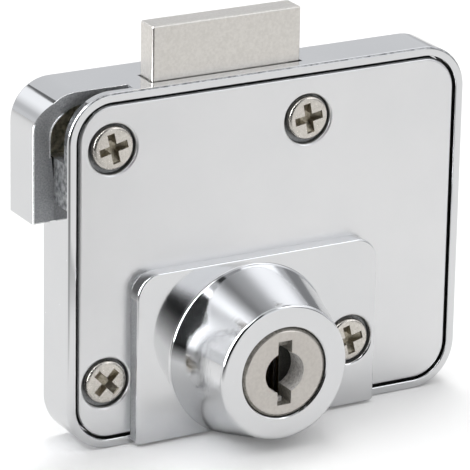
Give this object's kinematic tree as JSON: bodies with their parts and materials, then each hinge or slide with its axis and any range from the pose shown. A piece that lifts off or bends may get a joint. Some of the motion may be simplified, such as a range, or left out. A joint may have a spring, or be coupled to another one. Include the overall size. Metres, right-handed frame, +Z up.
{
  "type": "glass showcase lock",
  "caption": "Surface lock for a glass showcase door: mirror-finish rounded case with a corner lug, tapered key cylinder and a flat bolt that slides out of its top edge.",
  "frame": {"origin": "on the case's flat back face, behind the axis of the key cylinder", "axes": "+X to the right seen from the front, +Z up along the bolt's way out, +Y into the glass behind the case; the key cylinder points along -Y"},
  "size_m": [0.0609, 0.0221, 0.0551],
  "materials": {
    "chrome_case": "mirror-bright chrome plate on a die casting, rough cast inside",
    "chrome_cover": "mirror-bright chrome plate",
    "chrome_housing": "mirror-bright chrome plate",
    "nickel_plug": "satin nickel",
    "nickel_bolt": "satin nickel with a fine grain",
    "nickel_screw": "bright nickel",
    "steel_works": "plain steel",
    "brass_wafer": "stamped brass"
  },
  "bodies": {
    "lock_case": {"case": "chrome_case", "cover_plate": "chrome_cover", "cylinder_housing": "chrome_housing", "cover_screw_top_left": "nickel_screw", "cover_screw_top_right": "nickel_screw", "cover_screw_bottom_left": "nickel_screw", "flange_screw": "nickel_screw"},
    "key_plug": {"plug": "nickel_plug", "cam": "steel_works", "cam_clip": "steel_works", "wafer_spring_1": "steel_works", "wafer_spring_2": "steel_works", "wafer_spring_3": "steel_works", "wafer_spring_4": "steel_works", "wafer_spring_5": "steel_works"},
    "slide_bolt": {"bolt": "nickel_bolt"},
    "wafer_body_1": {"wafer_1": "brass_wafer"},
    "wafer_body_2": {"wafer_2": "brass_wafer"},
    "wafer_body_3": {"wafer_3": "brass_wafer"},
    "wafer_body_4": {"wafer_4": "brass_wafer"},
    "wafer_body_5": {"wafer_5": "brass_wafer"}
  },
  "joints": [
    {"name": "plug_turn", "type": "hinge", "parent": "lock_case", "child": "key_plug", "pos_m": [0, -0.01835, 0], "axis": [0, 1, 0], "range_deg": [0, 90]},
    {"name": "bolt_slide", "type": "slide", "parent": "lock_case", "child": "slide_bolt", "axis": [0, 0, -1], "range_m": [0, 0.0055]},
    {"name": "wafer_1_slide", "type": "slide", "parent": "key_plug", "child": "wafer_body_1", "axis": [0, 0, 1], "range_m": [0, 0.0006]},
    {"name": "wafer_2_slide", "type": "slide", "parent": "key_plug", "child": "wafer_body_2", "axis": [0, 0, 1], "range_m": [0, 0.0006]},
    {"name": "wafer_3_slide", "type": "slide", "parent": "key_plug", "child": "wafer_body_3", "axis": [0, 0, 1], "range_m": [0, 0.0006]},
    {"name": "wafer_4_slide", "type": "slide", "parent": "key_plug", "child": "wafer_body_4", "axis": [0, 0, 1], "range_m": [0, 0.0006]},
    {"name": "wafer_5_slide", "type": "slide", "parent": "key_plug", "child": "wafer_body_5", "axis": [0, 0, 1], "range_m": [0, 0.0006]}
  ],
  "couplings": [
    {"joint": "plug_turn", "follows": "bolt_slide", "rad_per_m": 285.59}
  ]
}
